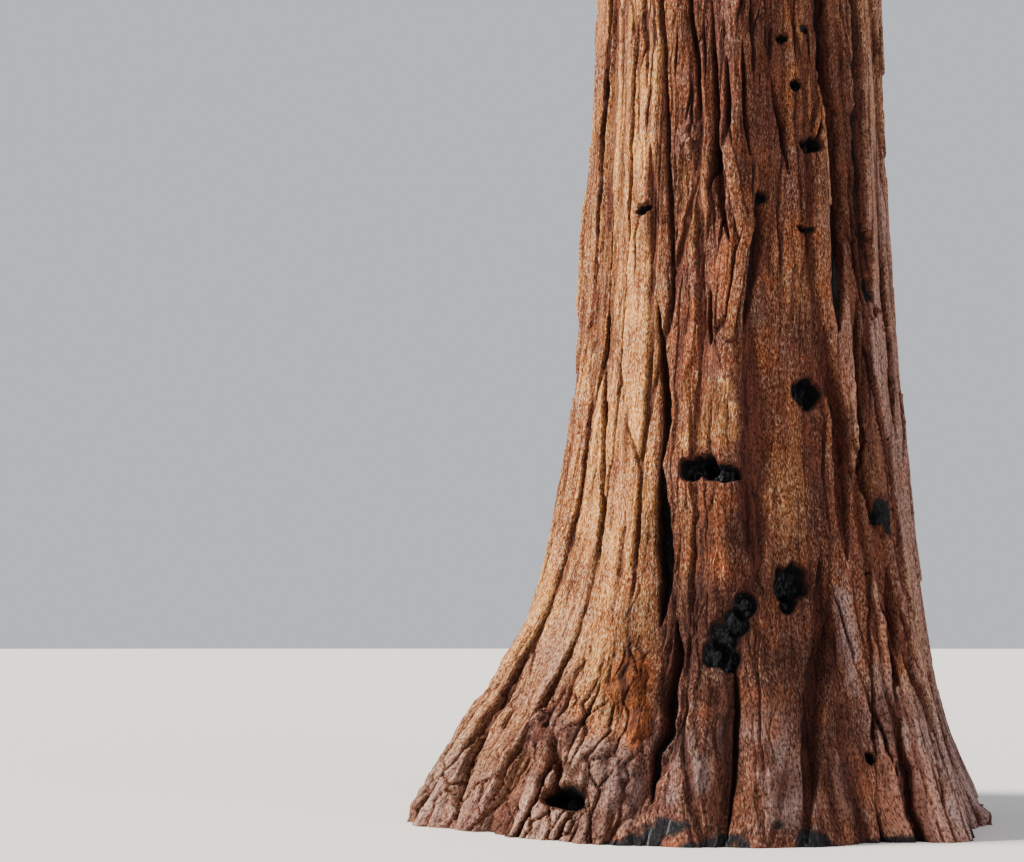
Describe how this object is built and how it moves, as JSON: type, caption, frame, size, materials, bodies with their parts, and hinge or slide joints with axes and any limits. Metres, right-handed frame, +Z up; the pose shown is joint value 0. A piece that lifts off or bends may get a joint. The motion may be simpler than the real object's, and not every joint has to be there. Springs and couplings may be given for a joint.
{
  "type": "giant sequoia tree",
  "caption": "Tall conifer with a thick furrowed trunk, flared and buttressed at its foot, and a narrow high crown of short boughs that end in rounded masses of foliage.",
  "frame": {"origin": "the trunk's axis in the flat cut at ground level, which is the mount named ground", "axes": "+Z up along the trunk, -Y towards the viewer of the front, +X to the viewer's right"},
  "size_m": [11.5801, 11.2446, 40],
  "materials": {
    "bark": "matte, fibrous, deeply furrowed",
    "limb_bark": "matte, ridged",
    "foliage": "matte needles"
  },
  "bodies": {
    "root": {"trunk": "bark", "bough_01": "limb_bark", "bough_02": "limb_bark", "bough_03": "limb_bark", "bough_04": "limb_bark", "bough_05": "limb_bark", "bough_06": "limb_bark", "bough_07": "limb_bark", "bough_08": "limb_bark", "bough_09": "limb_bark", "bough_10": "limb_bark", "bough_11": "limb_bark", "bough_12": "limb_bark", "bough_13": "limb_bark", "bough_14": "limb_bark", "bough_15": "limb_bark", "bough_16": "limb_bark", "bough_17": "limb_bark", "bough_18": "limb_bark", "bough_19": "limb_bark", "bough_20": "limb_bark", "bough_21": "limb_bark", "bough_22": "limb_bark", "bough_23": "limb_bark", "bough_24": "limb_bark", "bough_25": "limb_bark", "bough_26": "limb_bark", "foliage_01": "foliage", "foliage_02": "foliage", "foliage_03": "foliage", "foliage_04": "foliage", "foliage_05": "foliage", "foliage_06": "foliage", "foliage_07": "foliage", "foliage_08": "foliage", "foliage_09": "foliage", "foliage_10": "foliage", "foliage_11": "foliage", "foliage_12": "foliage", "foliage_13": "foliage", "foliage_14": "foliage", "foliage_15": "foliage", "foliage_16": "foliage", "foliage_17": "foliage", "foliage_18": "foliage", "foliage_19": "foliage", "foliage_20": "foliage", "foliage_21": "foliage", "foliage_22": "foliage", "foliage_23": "foliage", "foliage_24": "foliage", "foliage_25": "foliage", "foliage_26": "foliage", "top_foliage_01": "foliage", "top_foliage_02": "foliage", "top_foliage_03": "foliage", "top_foliage_04": "foliage", "top_foliage_05": "foliage", "top_foliage_06": "foliage", "top_foliage_07": "foliage"}
  },
  "joints": []
}
